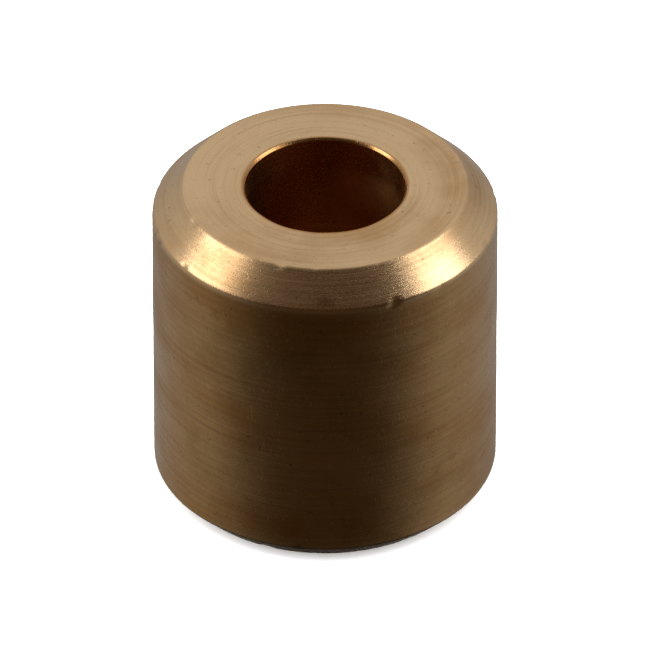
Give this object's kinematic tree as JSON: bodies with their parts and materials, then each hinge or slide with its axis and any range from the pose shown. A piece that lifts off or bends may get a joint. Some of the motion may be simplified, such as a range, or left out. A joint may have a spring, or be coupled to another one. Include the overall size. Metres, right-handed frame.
{
  "type": "sleeve bushing",
  "caption": "Plain one-piece bronze sleeve bushing: a short turned cylinder with a straight bore and 45 degree chamfers at both ends, pressed into a housing to carry a small shaft.",
  "frame": {"origin": "centre of the bottom end face, on the axis of the bore", "axes": "+Z along the bore, from the bottom face to the end with the larger chamfer, which leads into a housing; the part is round, so X and Y are free"},
  "size_m": [0.005, 0.005, 0.005],
  "materials": {
    "bronze": "fine-turned, lightly aged"
  },
  "bodies": {
    "root": {"bushing": "bronze"}
  },
  "joints": []
}
